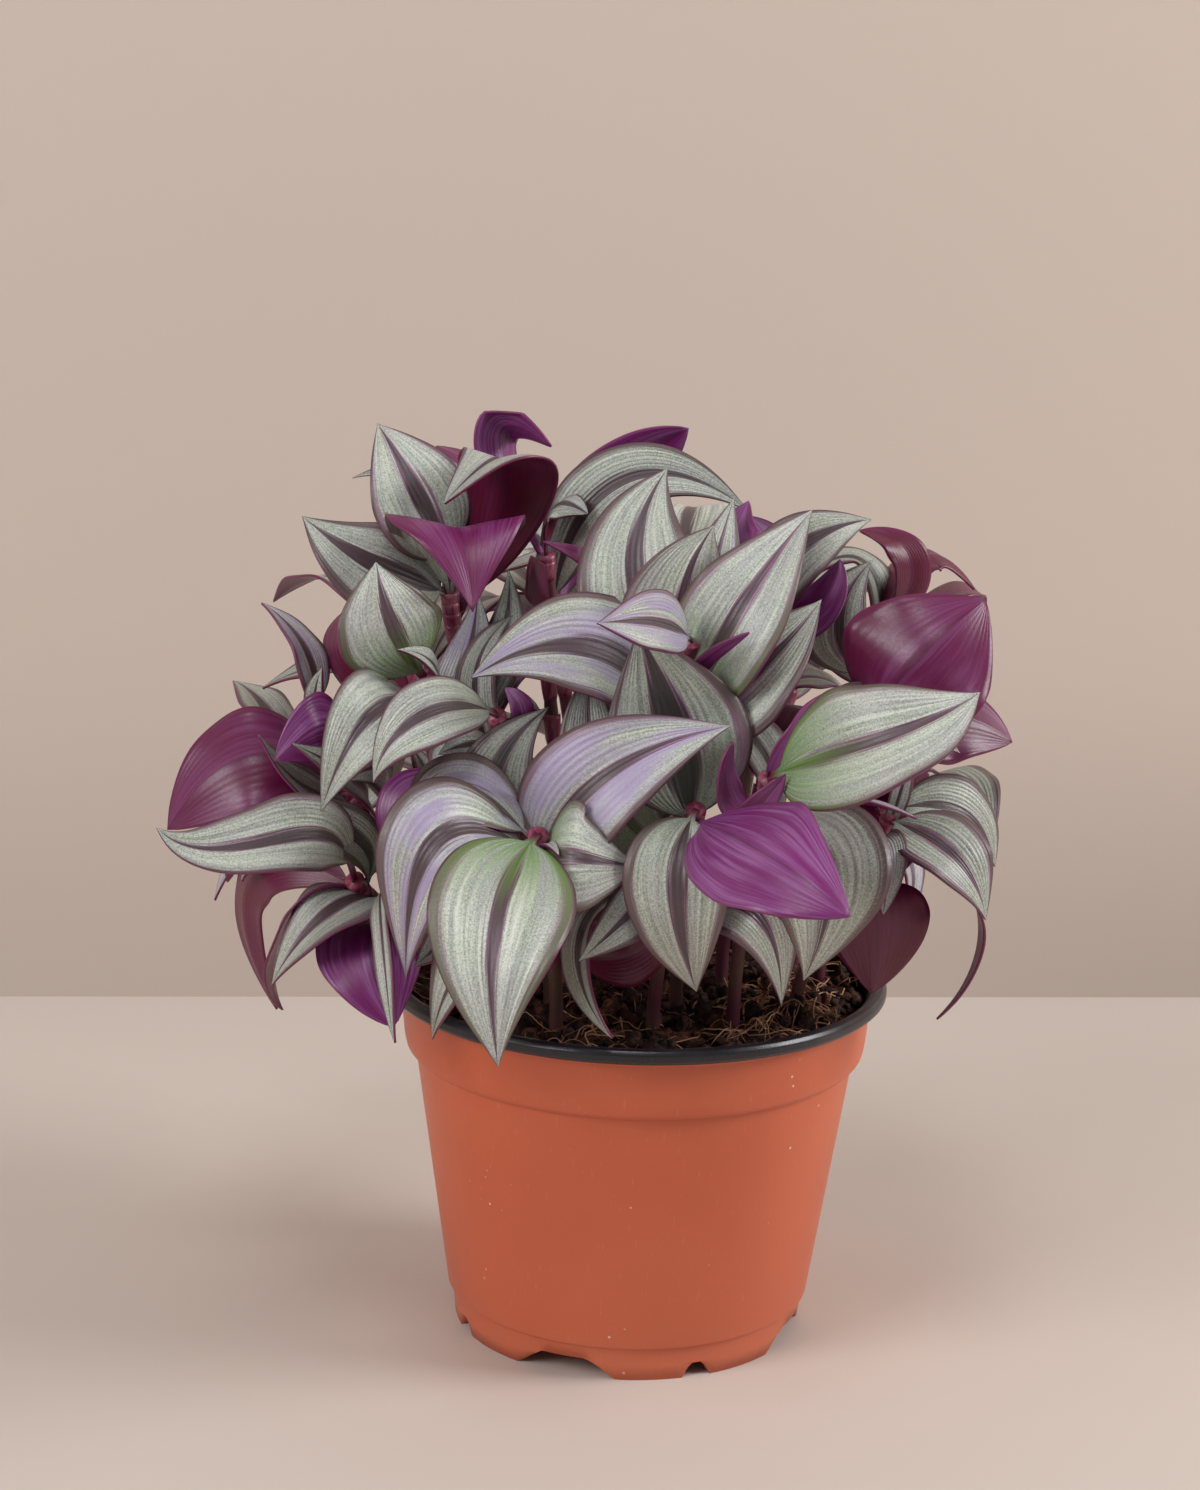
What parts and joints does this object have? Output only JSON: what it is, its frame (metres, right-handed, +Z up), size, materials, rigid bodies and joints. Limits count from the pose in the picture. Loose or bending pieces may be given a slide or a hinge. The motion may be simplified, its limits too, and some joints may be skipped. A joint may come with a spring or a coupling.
{
  "type": "potted tradescantia",
  "caption": "Bushy potted tradescantia with striped silver and purple leaves on loose stems, in a round tapered nursery pot filled with peaty potting mix.",
  "frame": {"origin": "middle of the bounding box in plan, on the ground that the pot stands on", "axes": "+Z up along the pot; +Y from the pictured front to the back; +X to the right in the picture"},
  "size_m": [0.21, 0.2148, 0.2381],
  "materials": {
    "pot": "satin terracotta plastic outside, black lip and lining",
    "potting_mix": "dark lumpy peat with brown coir fibres",
    "foliage": "silver striped leaves with green and purple bands, glossy purple undersides"
  },
  "bodies": {
    "root": {"pot": "pot", "potting_mix": "potting_mix", "stem_front_left": "foliage", "stem_front_centre": "foliage", "stem_front_right": "foliage", "stem_middle": "foliage", "stem_left_centre": "foliage", "stem_left": "foliage", "stem_top_left": "foliage", "stem_top_centre": "foliage", "stem_upper_right": "foliage", "stem_right_top": "foliage", "stem_right": "foliage", "stem_right_low": "foliage", "stem_left_low": "foliage", "stem_far_left": "foliage", "stem_left_upper": "foliage", "stem_back_left": "foliage", "stem_back_left_low": "foliage", "stem_back": "foliage", "stem_back_low": "foliage", "stem_back_right": "foliage", "stem_back_right_low": "foliage", "stem_crown": "foliage", "stem_crown_left": "foliage", "stem_side_right": "foliage"}
  },
  "joints": []
}
